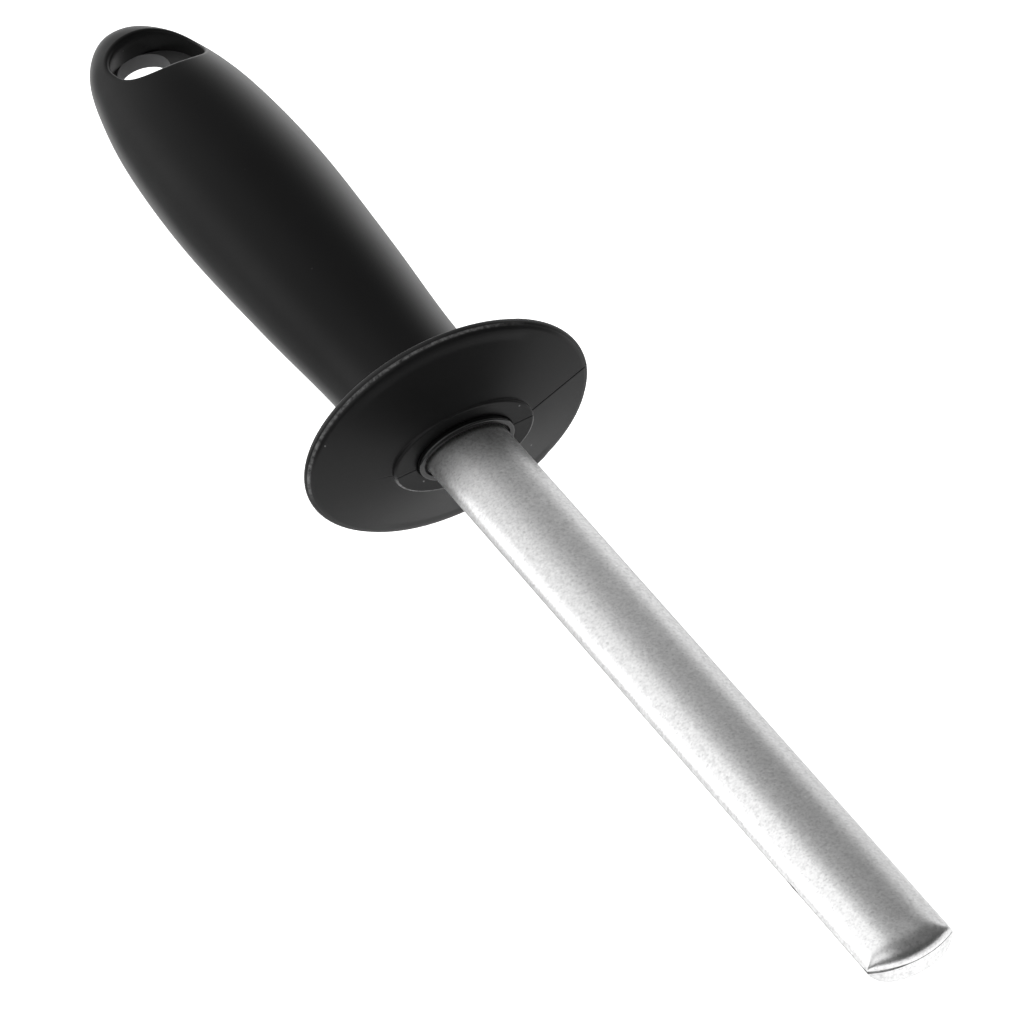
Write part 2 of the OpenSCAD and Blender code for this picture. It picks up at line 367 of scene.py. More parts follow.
def half_bar(r, cols, side, gap, grit=None):
    """Rows of points over one half of a bar of half width r, on round its tip and down its end
    wall. gap is the seam's half height at a plan point, grit the lift of the skin at a point."""
    squash = ROD_B / ROD_A
    first = math.asin(gap(0, 0) / (r * squash))
    sweep = math.pi - 2 * first
    turns = [first + sweep * (CROWDED * (0.5 - 0.5 * math.cos(math.pi * k / cols))
                              + (1 - CROWDED) * k / cols) for k in range(cols + 1)]
    rows = []
    for i in range(STRAIGHT_ROWS + TIP_ROWS + 1):
        if i < STRAIGHT_ROWS:
            share, x0 = 0.0, ROD_BACK + (TIP_START - ROD_BACK) * i / STRAIGHT_ROWS
        else:
            share, x0 = math.sin(math.pi / 2 * (i - STRAIGHT_ROWS) / TIP_ROWS), TIP_START
        row = []
        for k, t in enumerate(turns):
            y, z = r * math.cos(t), r * squash * math.sin(t)
            x_end = CROWN_X + math.sqrt((CROWN_R - (ROD_A - r)) ** 2 - y * y)
            x = x0 + (x_end - x0) * share
            if i >= STRAIGHT_ROWS:
                blend = LEAST_BLEND + END_BLEND[side] * share
                z = softer_min(z, end_height(x, y, r, side), blend)
            z = max(z, gap(x, y))
            if grit and 0 < k < cols:
                lift = grit(x, y, z, share) - SEAM_DIP * math.exp(-min(k, cols - k) / 1.2)
                y, z = y * (1 + lift / ROD_A), max(gap(x, y), z + lift)
            row.append([x, y, z])
        rows.append(row)
    top = rows[-1]
    for j in range(1, WALL_ROWS + 1):
        f = j / WALL_ROWS
        rows.append([[p[0], p[1], p[2] + (gap(p[0], p[1]) - p[2]) * f] for p in top])
    return [[p[0], p[1], side * p[2]] for row in rows for p in row], len(rows)


def rod_face(name, side, node):
    """One half of the abrasive layer: a gritty outside, a plain inside, joined along the seam."""
    rnd = random.Random(11 if side > 0 else 23)
    cols, in_cols = 80, 12

    def grit(x, y, z, share):
        calm = 1.0 if share < 0.97 else 0.2
        grain = rnd.uniform(-1, 1) * GRAIN
        return calm * (grain + WAVE * noise(Vector([c * WAVES_PER_MM for c in (x, y, z)])))

    verts, n_rows = half_bar(ROD_A, cols, side, seam_gap, grit)
    first_in = len(verts)
    verts += half_bar(ROD_A - LAYER, in_cols, side, seam_gap)[0]
    oc, ic = cols + 1, in_cols + 1
    faces = grid_faces(n_rows, oc) + grid_faces(n_rows, ic, first=first_in, flip=True)
    for row in range(n_rows - 1):
        for o_c, i_c in ((0, 0), (cols, in_cols)):
            o, i = row * oc + o_c, first_in + row * ic + i_c
            faces.append([o, o + oc, i + ic, i])
    # back end and tip, between the outside and the inside
    faces.append(list(range(oc)) + [first_in + c for c in range(ic - 1, -1, -1)])
    last_o, last_i = (n_rows - 1) * oc, first_in + (n_rows - 1) * ic
    faces.append([last_o + c for c in range(oc - 1, -1, -1)] + [last_i + c for c in range(ic)])
    return new_piece(name, verts, faces, node=node, slot="abrasive", sharp_deg=40)


def rod_bar():
    """Steel bar under the abrasive layer, with the flat tang behind it."""
    cols = 24
    verts, faces = [], []
    r = ROD_A - LAYER - 0.01
    for side in (1, -1):
        first = len(verts)
        points, n_rows = half_bar(r, cols, side, lambda x, y: 0.0)
        verts += points
        faces += grid_faces(n_rows, cols + 1, first=first, flip=side < 0)
        faces.append([first + c for c in range(cols + 1)])
    y, z = TANG_W / 2, TANG_T / 2
    ends = BAR_LO[0], ROD_BACK + 0.5
    first = len(verts)
    verts += [[x, sy * y, sz * z] for x in ends for sy, sz in ((-1, -1), (1, -1), (1, 1), (-1, 1))]
    box = [(0, 1, 2, 3), (4, 7, 6, 5), (0, 4, 5, 1), (1, 5, 6, 2), (2, 6, 7, 3), (3, 7, 4, 0)]
    faces += [[first + k for k in q] for q in box]
    return new_piece("steel_bar", verts, faces, node="rod_core", slot="bar_steel", sharp_deg=40)


bar = rod_bar()
upper_face = rod_face("rod_face_upper", 1, "upper_abrasive_face")
lower_face = rod_face("rod_face_lower", -1, "lower_abrasive_face")


# ---------------------------------------------------------------- soft grip
# depths run back from the collar face
END = -GRIP_LO[0]
FRONT = -GRIP_HI[0]
NECK, PALM, FLAT = 13.7, 16.6, 0.8
# the grip from its front to its end: depth, half width, half thickness
CONTROLS = [
    (FRONT, NECK + 0.1, FLAT * NECK + 0.1),
    (FRONT + 24, NECK, FLAT * NECK),
    (FRONT + 54, (NECK + 2 * PALM) / 3 - 0.2, FLAT * (NECK + 2 * PALM) / 3 - 0.2),
    (FRONT + 86, PALM, FLAT * PALM),
    (END - 37, PALM - 1.1, FLAT * PALM - 0.8),
    (END - 19, PALM - 3.8, FLAT * PALM - 3.6),
    (END - 9.2, PALM - 6.8, FLAT * PALM - 6.4),
    (END - 2.6, PALM - 11.4, FLAT * PALM - 9.4),
    (END, 0.0, 0.0),
]
SPANS = len(CONTROLS) - 1
TABLE_STEPS = 800
ROUND = 2.2                         # power of the rounded outline across the grip
# the middle line rises by RISE from RISE_FROM behind the front to the end of RISE_RUN
RISE, RISE_FROM = 3.1, 10
RISE_RUN = END - 14.4 - FRONT
# pocket round the hanging hole: length, width, how far it reaches back on the underside, the power
# of its outline on the side of the rod, its middle, and the fillet at its mouth
POCKET_L, POCKET_W = 20.0, 18.6
FLARE = 3.4
NEAR_SQUARE = 3.0
POCKET_X = EYE_X - EYE_R - 0.3 + POCKET_L / 2
FILLET = 1.3
# the pocket's mouth sits a little to one side of the web: centre, half length, half width
MOUTH = (POCKET_X + 0.5, 1.4, POCKET_L / 2 - 0.5, POCKET_W / 2 - 0.2)
# grid lines leave the pocket at angles: up to the first they end at the front, from the second on
# at the grip's end, and between them along its side
FRONT_DEG, END_DEG, SIDE_POWER = 42, 150, 0.92
GRIP_COLS, GRIP_ROWS, FILLET_ROWS, ROW_POWER = 288, 56, 7, 1.35


def section(s):
    """Depth, half width and half thickness of the grip at s spans from its front."""
    i = min(SPANS - 1, int(s))
    t = s - i
    p1, p2 = np.array(CONTROLS[i]), np.array(CONTROLS[i + 1])
    p0 = 2 * p1 - p2 if i == 0 else np.array(CONTROLS[i - 1])
    if i + 1 == SPANS:
        c = CONTROLS[SPANS - 1]
        p3 = np.array((c[0], -c[1], -c[2]))
    else:
        p3 = np.array(CONTROLS[i + 2])
    return 0.5 * (2 * p1 + (p2 - p0) * t + (2 * p0 - 5 * p1 + 4 * p2 - p3) * t * t
                  + (3 * p1 - p0 - 3 * p2 + p3) * t ** 3)


TABLE = np.array([section(SPANS * k / TABLE_STEPS) for k in range(TABLE_STEPS + 1)])
TABLE_S = np.linspace(0, SPANS, TABLE_STEPS + 1)


def centre_z(depth):
    """Height of the grip's middle line at a depth."""
    return RISE * max(0.0, depth - FRONT - RISE_FROM) / (RISE_RUN - RISE_FROM)


def signed_power(value, power):
    """Power of a value's size, with the value's sign."""
    return math.copysign(abs(value) ** power, value)


def skin(s, alpha, side):
    """Point of the grip's skin: s spans back, alpha from +Y over the top to -Y."""
    d, w, h = (float(np.interp(s, TABLE_S, TABLE[:, k])) for k in range(3))
    w, h = max(w, 0.0), max(h, 0.0)
    up = max(0.0, math.sin(alpha)) ** (2 / ROUND)
    return [-d, w * signed_power(math.cos(alpha), 2 / ROUND), centre_z(d) + side * h * up]


def plan_to_skin(x, y):
    """The s and alpha of the skin point over a plan point."""
    s = float(np.interp(-x, TABLE[:, 0], TABLE_S))
    w = float(np.interp(s, TABLE_S, TABLE[:, 1]))
    c = math.copysign(min(1.0, abs(y) / w) ** (ROUND / 2), y)
    return s, math.acos(c)


def outline_point(deg):
    """Where the grid line that leaves the pocket at an angle meets the skin's border."""
    m = deg if deg <= 180 else 360 - deg
    if m <= FRONT_DEG:
        s, a = 0.0, (math.pi / 2) * (1 - m / FRONT_DEG)
    elif m <= END_DEG:
        s, a = SPANS * ((m - FRONT_DEG) / (END_DEG - FRONT_DEG)) ** SIDE_POWER, 0.0
    else:
        s, a = float(SPANS), (math.pi / 2) * (m - END_DEG) / (180 - END_DEG)
    return s, (a if deg <= 180 else math.pi - a)


def pocket_point(deg, out, level):
    """Plan point of the pocket's edge, out beyond its wall, at its mouth (1), at the web (0) or
    on the underside (-1), where it reaches further back."""
    t = math.radians(deg)
    c, sn = math.cos(t), math.sin(t)
    square = NEAR_SQUARE if c > 0 else 2.0
    cx, cy, a, b = MOUTH if level > 0 else (POCKET_X, 0.0, POCKET_L / 2, POCKET_W / 2)
    px, py = signed_power(c, 2 / square), signed_power(sn, 2 / square)
    nx, ny = signed_power(px, square - 1) / a, signed_power(py, square - 1) / b
    n = math.hypot(nx, ny)
    back = FLARE * c if level < 0 and c < 0 else 0.0
    return cx + a * px + back + out * nx / n, cy + b * py + out * ny / n


def grip_body():
    """Points and faces of the grip: on each side a fillet round the pocket's mouth and a grid out
    to the border, then the pocket's wall from the upper mouth to the lower one."""
    cols = GRIP_COLS
    verts, faces = [], []
    angles = [360 * k / cols for k in range(cols)]
    starts = {}
    for side in (1, -1):
        starts[side] = len(verts)
        for k in range(FILLET_ROWS):
            out = FILLET * (1 - math.cos(math.radians(90 * k / (FILLET_ROWS - 1))))
            drop = FILLET * (1 - math.sqrt(max(0.0, 1 - (1 - out / FILLET) ** 2)))
            for deg in angles:
                x, y = pocket_point(deg, out, side)
                verts.append([x, y, skin(*plan_to_skin(x, y), side)[2] - side * drop])
        for k in range(1, GRIP_ROWS + 1):
            f = (k / GRIP_ROWS) ** ROW_POWER
            for deg in angles:
                s0, a0 = plan_to_skin(*pocket_point(deg, FILLET, side))
                s1, a1 = outline_point(deg)
                verts.append(skin(s0 + (s1 - s0) * f, a0 + (a1 - a0) * f, side))
        faces += grid_faces(FILLET_ROWS + GRIP_ROWS, cols, first=starts[side], wrap=True,
                            flip=side < 0)
    wall = len(verts)
    upper, lower = 8, 5
    kink = EYE_Z - WEB_T / 2
    for k in range(1, upper + 1):
        for c in range(cols):
            p, (x, y) = verts[starts[1] + c], pocket_point(angles[c], 0.0, 0)
            f = k / upper
            verts.append([p[0] + (x - p[0]) * f, p[1] + (y - p[1]) * f, p[2] + (kink - p[2]) * f])
    for k in range(1, lower):
        for c in range(cols):
            (x, y), q = pocket_point(angles[c], 0.0, 0), verts[starts[-1] + c]
            f = k / lower
            verts.append([x + (q[0] - x) * f, y + (q[1] - y) * f, kink + (q[2] - kink) * f])
    order = [starts[1]] + [wall + k * cols for k in range(upper + lower - 1)] + [starts[-1]]
    for r0, r1 in zip(order, order[1:]):
        for c in range(cols):
            d = (c + 1) % cols
            faces.append([r0 + c, r1 + c, r1 + d, r0 + d])
    return verts, faces


def close_front(obj):
    """Fills the open loop at the grip's front with one face."""
    bm = bmesh.new()
    bm.from_mesh(obj.data)
    edges = [e for e in bm.edges if e.is_boundary]
    bmesh.ops.holes_fill(bm, edges=edges, sides=0)
    bmesh.ops.recalc_face_normals(bm, faces=bm.faces)
    bm.to_mesh(obj.data)
    bm.free()


def cut_away(obj, cutter):
    """Takes the cutter's room out of an object and deletes the cutter."""
    mod = obj.modifiers.new("cut", "BOOLEAN")
    mod.operation = "DIFFERENCE"
    mod.solver = "EXACT"
    mod.object = cutter
    dg = bpy.context.evaluated_depsgraph_get()
    mesh = bpy.data.meshes.new_from_object(obj.evaluated_get(dg))
    obj.modifiers.clear()
    old = obj.data
    obj.data = mesh
    bpy.data.meshes.remove(old)
    bpy.data.objects.remove(cutter, do_unlink=True)


def prism(name, outline, axis, lo, hi):
    """Straight prism over a plane outline, along X (outline is y, z) or along Z (outline is
    x, y)."""
    n = len(outline)
    place = (lambda p, q, h: [h, p, q]) if axis == "x" else (lambda p, q, h: [p, q, h])
    verts = [place(p, q, h) for h in (lo, hi) for p, q in outline]
    faces = [list(range(n)), list(range(n, 2 * n))]
    faces += [[k, (k + 1) % n, n + (k + 1) % n, n + k] for k in range(n)]
    mesh = bpy.data.meshes.new(name)
    mesh.from_pydata([[c * MM for c in v] for v in verts], [], faces)
    bm = bmesh.new()
    bm.from_mesh(mesh)
    bmesh.ops.recalc_face_normals(bm, faces=bm.faces)
    bm.to_mesh(mesh)
    bm.free()
    obj = bpy.data.objects.new(name, mesh)
    bpy.context.scene.collection.objects.link(obj)
    return obj


SLACK = 0.03                        # between the grip and the handle core


def core_outline():
    """Section of the handle core's thick part, with a little slack."""
    turns = [math.tau * k / 96 for k in range(96)]
    return [((CORE_A + SLACK) * math.cos(t), (CORE_B + SLACK) * math.sin(t)) for t in turns]


def tab_outline():
    """Plan of the core's web, which ends in an oval round the pocket, with a little slack."""
    half_w = POCKET_W / 2 + SLACK
    a, b = POCKET_L / 2 + TAB_BORDER + SLACK, POCKET_W / 2 + TAB_BORDER + SLACK
    first, steps = math.asin(half_w / b), 72
    outline = [(TAB_ROOT, -half_w), (TAB_ROOT, half_w)]
    for k in range(steps + 1):
        t = first + (math.tau - 2 * first) * k / steps
        outline.append((POCKET_X + a * math.cos(t), b * math.sin(t)))
    return outline


grip = new_piece("grip_skin", *grip_body(), node="soft_grip", slot="soft_grip_rubber")
close_front(grip)
cut_away(grip, prism("cut_core", core_outline(), "x", CORE_END - SLACK, -FRONT + 1))
cut_away(grip, prism("cut_tab", tab_outline(), "z", EYE_Z - WEB_T / 2 - SLACK,
                     EYE_Z + WEB_T / 2 + SLACK))
smooth_shade(grip.data, 50)


# painted highlight on the near lip: size of its ring and its softness; size at which the hollow
# ends and its softness, all as shares of the mouth; the highlight grows over a width from a y on
LIP_HIGHLIGHT_SIZE, LIP_HIGHLIGHT_SOFT = 1.075, 0.028
HOLLOW_SIZE, HOLLOW_SOFT = 1.03, 0.02
LIP_HIGHLIGHT_FROM_Y, LIP_HIGHLIGHT_GROW = -3, 4


def mouth_marks(co):
    """At a point: the share of painted highlight on the pocket mouth's near lip, and whether the
    point lies in the hollow, both 0 to 1."""
    x, y, z = (c / MM for c in co)
    if z < EYE_Z - WEB_T:
        return 0.0, 0.0
    cx, cy, a, b = MOUTH
    power = NEAR_SQUARE if x > cx else 2.0
    size = (abs((x - cx) / a) ** power + abs((y - cy) / b) ** power) ** (1 / power)
    side = clamp((y - LIP_HIGHLIGHT_FROM_Y) / LIP_HIGHLIGHT_GROW) if x > cx else 0.0
    lip_highlight = side * math.exp(-((size - LIP_HIGHLIGHT_SIZE) / LIP_HIGHLIGHT_SOFT) ** 2)
    return lip_highlight, clamp((HOLLOW_SIZE - size) / HOLLOW_SOFT)


marks = [mouth_marks(v.co) for v in grip.data.vertices]
for k, mark in enumerate(("lip_highlight", "hollow")):
    values = grip.data.attributes.new(mark, "FLOAT", "POINT").data
    values.foreach_set("value", [m[k] for m in marks])


# ---------------------------------------------------------------- shader helpers
def material(name):
    """A new material, its node tree and its Principled node."""
    mat = bpy.data.materials.new(name)
    mat.use_nodes = True
    nt = mat.node_tree
    return mat, nt, nt.nodes["Principled BSDF"]


def coordinates(nt, kind="Object"):
    """Texture coordinates of one kind."""
    return nt.nodes.new("ShaderNodeTexCoord").outputs[kind]


def stretched(nt, scale):
    """Object coordinates times a scale for each axis."""
    mp = nt.nodes.new("ShaderNodeMapping")
    mp.inputs["Scale"].default_value = scale
    nt.links.new(coordinates(nt), mp.inputs["Vector"])
    return mp.outputs["Vector"]


def split(nt, vector):
    """The X, Y and Z outputs of a vector."""
    n = nt.nodes.new("ShaderNodeSeparateXYZ")
    nt.links.new(vector, n.inputs["Vector"])
    return n.outputs


def noise_node(nt, vector, scale, detail, rough):
    """Cloudy noise from 0 to 1."""
    n = nt.nodes.new("ShaderNodeTexNoise")
    n.inputs["Scale"].default_value = scale
    n.inputs["Detail"].default_value = detail
    n.inputs["Roughness"].default_value = rough
    nt.links.new(vector, n.inputs["Vector"])
    return n.outputs["Fac"]


def cell_node(nt, vector, scale):
    """Random cells: a distance from the middle of each and a colour for each."""
    n = nt.nodes.new("ShaderNodeTexVoronoi")
    n.inputs["Scale"].default_value = scale
    nt.links.new(vector, n.inputs["Vector"])
    return n.outputs


def ramp(nt, fac, stops):
    """Colour over a value, from stops of position and grey level or colour."""
    n = nt.nodes.new("ShaderNodeValToRGB")
    els = n.color_ramp.elements
    while len(els) < len(stops):
        els.new(0.5)
    for e, (pos, v) in zip(els, stops):
        e.position = pos
        e.color = (v, v, v, 1) if not isinstance(v, tuple) else (*v, 1)
    nt.links.new(fac, n.inputs["Fac"])
    return n.outputs["Color"]


def calc(nt, kind, a, b):
    """One arithmetic step; a and b are numbers or sockets."""
    n = nt.nodes.new("ShaderNodeMath")
    n.operation = kind
    for socket, v in zip(n.inputs, (a, b)):
        if isinstance(v, (int, float)):
            socket.default_value = v
        else:
            nt.links.new(v, socket)
    return n.outputs[0]


def smooth_map(nt, value, from_a, from_b, to_a, to_b):
    """Goes softly from to_a at from_a to to_b at from_b."""
    n = nt.nodes.new("ShaderNodeMapRange")
    n.interpolation_type = "SMOOTHSTEP"
    for key, v in zip(("From Min", "From Max", "To Min", "To Max"), (from_a, from_b, to_a, to_b)):
        n.inputs[key].default_value = v
    nt.links.new(value, n.inputs["Value"])
    return n.outputs["Result"]


def vector_math(nt, kind, vector, other=None, name="Vector"):
    """One vector step on a socket and, where the step needs one, a fixed vector."""
    n = nt.nodes.new("ShaderNodeVectorMath")
    n.operation = kind
    nt.links.new(vector, n.inputs[0])
    if other is not None:
        n.inputs[1].default_value = other
    return n.outputs[name]


def mix_colour(nt, share, colour, level):
    """Colour moved towards a plain grey by a share from 0 to 1."""
    n = nt.nodes.new("ShaderNodeMix")
    n.data_type = "RGBA"
    nt.links.new(share, n.inputs["Factor"])
    nt.links.new(colour, n.inputs["A"])
    n.inputs["B"].default_value = (level, level, level, 1)
    return n.outputs["Result"]


def bump(nt, height, strength, distance, normal=None):
    """Normal tilted by a height, on top of another one where it is given."""
    n = nt.nodes.new("ShaderNodeBump")
    n.inputs["Strength"].default_value = strength
    n.inputs["Distance"].default_value = distance
    nt.links.new(height, n.inputs["Height"])
    if normal is not None:
        nt.links.new(normal, n.inputs["Normal"])
    return n.outputs["Normal"]


def ring_mask(nt, half_y, half_z, inner, outer):
    """1 between two sizes of an oval round the X axis (half sizes in metres), soft outside."""
    scaled = vector_math(nt, "MULTIPLY", coordinates(nt), (0, 1 / half_y, 1 / half_z))
    size = vector_math(nt, "LENGTH", scaled, name="Value")
    soft = (outer - inner) * 0.5
    up = smooth_map(nt, size, inner - soft, inner, 0.0, 1.0)
    down = smooth_map(nt, size, outer, outer + soft, 1.0, 0.0)
    return calc(nt, "MULTIPLY", up, down)


# ---------------------------------------------------------------- materials
def abrasive_material():
    """Bright grit with darker and lighter grains; painted shade and highlight near the tip."""
    mat, nt, bsdf = material("abrasive_grit")
    v = coordinates(nt)
    fine = noise_node(nt, v, 4200, 2.0, 0.7)
    mid = noise_node(nt, v, 1500, 2.0, 0.6)
    broad = noise_node(nt, v, 60, 3.0, 0.5)
    grains = cell_node(nt, v, 2600)["Color"]
    mul = nt.nodes.new("ShaderNodeMix")
    mul.data_type = "RGBA"
    mul.blend_type = "MULTIPLY"
    mul.inputs["Factor"].default_value = 0.7
    nt.links.new(ramp(nt, mid, [(0.25, 0.72), (0.5, 0.84), (0.75, 0.95)]), mul.inputs["A"])
    nt.links.new(ramp(nt, grains, [(0.0, 0.66), (0.5, 0.95), (0.93, 1.0), (1.0, 1.25)]),
                 mul.inputs["B"])
    # painted shade on the upper face's middle towards the tip, a painted highlight beside it
    axes = split(nt, v)
    end = smooth_map(nt, axes["X"], 0.03, 0.165, 0.0, 1.0)
    top = smooth_map(nt, axes["Z"], 0.0003, 0.0012, 0.0, 1.0)
    painted_shade_middle = calc(nt, "MULTIPLY", smooth_map(nt, axes["Y"], -0.0055, -0.0008, 0.0, 0.3),
                  smooth_map(nt, axes["Y"], 0.0092, 0.005, 0.0, 1.0))
    painted_highlight_beside = smooth_map(nt, axes["Y"], -0.0025, -0.005, 0.0, 0.22)
    painted_light_change = calc(nt, "MULTIPLY", calc(nt, "SUBTRACT", painted_highlight_beside, painted_shade_middle),
                  calc(nt, "MULTIPLY", end, top))
    dim = nt.nodes.new("ShaderNodeVectorMath")
    dim.operation = "SCALE"
    nt.links.new(mul.outputs["Result"], dim.inputs["Vector"])
    nt.links.new(calc(nt, "ADD", 1.0, painted_light_change), dim.inputs["Scale"])
    nt.links.new(dim.outputs["Vector"], bsdf.inputs["Base Color"])
    bsdf.inputs["Metallic"].default_value = 0.95
    nt.links.new(ramp(nt, broad, [(0.3, 0.28), (0.7, 0.34)]), bsdf.inputs["Roughness"])
    coarse = bump(nt, mid, 0.3, 0.00006)
    nt.links.new(bump(nt, fine, 0.3, 0.00004, coarse), bsdf.inputs["Normal"])
    return mat


def steel_material(name, base, rough):
    """Drawn steel with fine lines along X."""
    mat, nt, bsdf = material(name)
    lines = noise_node(nt, stretched(nt, (40, 900, 900)), 1.0, 4.0, 0.6)
    spots = noise_node(nt, coordinates(nt), 240, 3.0, 0.6)
    nt.links.new(ramp(nt, lines, [(0.3, base * 0.8), (0.7, base * 1.05)]),
                 bsdf.inputs["Base Color"])
    nt.links.new(ramp(nt, spots, [(0.3, rough - 0.06), (0.7, rough + 0.08)]),
                 bsdf.inputs["Roughness"])
    nt.links.new(bump(nt, lines, 0.2, 0.00005), bsdf.inputs["Normal"])
    bsdf.inputs["Metallic"].default_value = 1.0
    return mat


def add_dust(nt, v, colour, amount):
    """A few pale specks."""
    cells = cell_node(nt, v, 330)
    near = ramp(nt, cells["Distance"], [(0.02, 1.0), (0.085, 0.0)])
    pick = nt.nodes.new("ShaderNodeSeparateColor")
    nt.links.new(cells["Color"], pick.inputs["Color"])
    some = ramp(nt, pick.outputs["Red"], [(0.90, 0.0), (0.985, amount)])
    return mix_colour(nt, calc(nt, "MULTIPLY", near, some), colour, 0.42)


def add_painted_highlight(nt, v, colour, level, ring, sides):
    """Patchy painted edge highlight: its brightness, the ring it lies in, the sides it keeps to."""
    patchy = ramp(nt, noise_node(nt, v, 900, 4.0, 0.7), [(0.36, 0.15), (0.66, 1.0)])
    fade = calc(nt, "MULTIPLY", ring_mask(nt, *ring), patchy)
    axes = split(nt, v)
    for axis, none, full in sides:
        fade = calc(nt, "MULTIPLY", fade, smooth_map(nt, axes[axis], none, full, 0.0, 1.0))
    return mix_colour(nt, fade, colour, level)


def add_painted_rim_light(nt, colour, level, wide, narrow):
    """Painted rim light where the skin is seen at a glancing angle, wider on the side facing +Y."""
    weight = nt.nodes.new("ShaderNodeLayerWeight")
    weight.inputs["Blend"].default_value = 0.5
    facing = weight.outputs["Facing"]
    normal = split(nt, coordinates(nt, "Normal"))
    right = calc(nt, "MULTIPLY", smooth_map(nt, facing, wide, 0.95, 0.0, 1.0),
                 smooth_map(nt, normal["Y"], 0.0, 0.7, 0.0, 1.0))
    left = smooth_map(nt, facing, narrow, 1.0, 0.0, 0.8)
    return mix_colour(nt, calc(nt, "MAXIMUM", left, right), colour, level)


def add_pocket_marks(nt, v, colour, hollow, lip_highlight):
    """The pocket's hollow is a little paler, its near lip has a patchy painted highlight."""
    patchy = ramp(nt, noise_node(nt, v, 700, 4.0, 0.7), [(0.36, 0.45), (0.6, 1.0)])
    for mark, level in (("hollow", hollow), ("lip_highlight", lip_highlight)):
        attribute = nt.nodes.new("ShaderNodeAttribute")
        attribute.attribute_name = mark
        share = attribute.outputs["Fac"]
        if mark == "lip_highlight":
            share = calc(nt, "MULTIPLY", share, patchy)
        colour = mix_colour(nt, share, colour, level)
    return colour


def plastic_material(name, base, rough, grain=900, grain_depth=0.00004, dust=0.0, spec=0.5,
                     painted_highlights=(), painted_rim_light=None, pocket=None, painted_shade_top_level=None):
    """Fine-grained moulded plastic or rubber; faces that look up may be painted a shade grey."""
    mat, nt, bsdf = material(name)
    v = coordinates(nt)
    blotch = noise_node(nt, v, 55, 4.0, 0.55)
    low, high = (tuple(c * f for c in base) for f in (0.82, 1.22))
    colour = ramp(nt, blotch, [(0.3, low), (0.7, high)])
    if dust:
        colour = add_dust(nt, v, colour, dust)
    for edge in painted_highlights:
        colour = add_painted_highlight(nt, v, colour, *edge)
    if painted_rim_light:
        colour = add_painted_rim_light(nt, colour, *painted_rim_light)
    if pocket:
        colour = add_pocket_marks(nt, v, colour, *pocket)
    # painted shade: faces that look up are mixed towards a given grey
    if painted_shade_top_level is not None:
        up = smooth_map(nt, split(nt, coordinates(nt, "Normal"))["Z"], 0.5, 0.9, 0.0, 1.0)
        colour = mix_colour(nt, up, colour, painted_shade_top_level)
    nt.links.new(colour, bsdf.inputs["Base Color"])
    nt.links.new(ramp(nt, blotch, [(0.3, rough - 0.03), (0.7, rough + 0.04)]),
                 bsdf.inputs["Roughness"])
    nt.links.new(bump(nt, noise_node(nt, v, grain, 3.0, 0.6), 0.25, grain_depth),
                 bsdf.inputs["Normal"])
    bsdf.inputs["Specular IOR Level"].default_value = spec
    return mat


def paint(obj, mat):
    """Gives a piece, or a CAD node by its name, one material."""
    if isinstance(obj, str):
        obj = frame["nodes"][obj]
    if not obj.material_slots:
        obj.data.materials.append(mat)
    for s in obj.material_slots:
        s.link = "OBJECT"
        s.material = mat


# painted highlight rings on the guard, in metres and shares of the oval; the sides where each shows
RIM_HIGHLIGHT_RING = (GUARD_A * MM, GUARD_B * MM, 0.98, 0.99)
RIM_HIGHLIGHT_SIDES = (("Z", -0.004, 0.004), ("Y", 0.022, 0.008))
COLLAR_HIGHLIGHT_RING = (COLLAR_A * MM, COLLAR_B * MM, 0.975, 0.995)
COLLAR_HIGHLIGHT_SIDES = (("Z", 0.001, -0.002),)

grit_mat = abrasive_material()
paint(upper_face, grit_mat)
paint(lower_face, grit_mat)
paint(bar, steel_material("bar_steel", 0.9, 0.35))
paint("tang_pins", steel_material("pin_steel", 0.6, 0.35))
# the guard's rim and collar edge carry painted highlights
paint(guard, plastic_material("guard_plastic", (0.004, 0.004, 0.0042), 0.4, 1100, 0.00003, dust=0.5,
                              spec=0.32, painted_highlights=((0.24, RIM_HIGHLIGHT_RING, RIM_HIGHLIGHT_SIDES),
                                               (0.3, COLLAR_HIGHLIGHT_RING, COLLAR_HIGHLIGHT_SIDES))))
paint(ferrule, plastic_material("ferrule_plastic", (0.005, 0.005, 0.005), 0.22, 900, 0.00002,
                                spec=0.8))
paint("rod_seal", plastic_material("seal_rubber", (0.006, 0.006, 0.006), 0.6, 900, 0.00003))
# the core's faces that look up are painted darker, as painted shade
paint("handle_core", plastic_material("core_nylon", (0.15, 0.15, 0.152), 0.5, 700, 0.00004,
                                      painted_shade_top_level=0.05))
# the grip carries a painted rim light and a painted highlight on the pocket's near lip
paint(grip, plastic_material("grip_rubber", (0.0025, 0.0025, 0.0026), 0.4, 1300, 0.00003, dust=0.25,
                             spec=0.12, painted_rim_light=(0.34, 0.3, 0.62), pocket=(0.022, 0.42)))


# ---------------------------------------------------------------- floor and room
FLOOR_HALF, FLOOR_DROP, FLOOR_CELLS = 4.0, 0.06, 8
FLOOR_SEEN = 1.2                    # glow of the floor where the camera looks straight at it
ROOM_LEVEL = 0.1
# Glow of the room round the table: direction, inner and outer angle of its soft edge, strength.
ROOM = [
    ((-0.35, 0.93, 0.15), 10, 45, 0.3),
    ((0.25, -0.5, 0.83), 10, 38, 0.9),
    ((0.25, 0.35, 0.9), 10, 40, 0.1),
]


def camera_ray(nt):
    """1 for what the camera sees directly, 0 for everything else."""
    return nt.nodes.new("ShaderNodeLightPath").outputs["Is Camera Ray"]


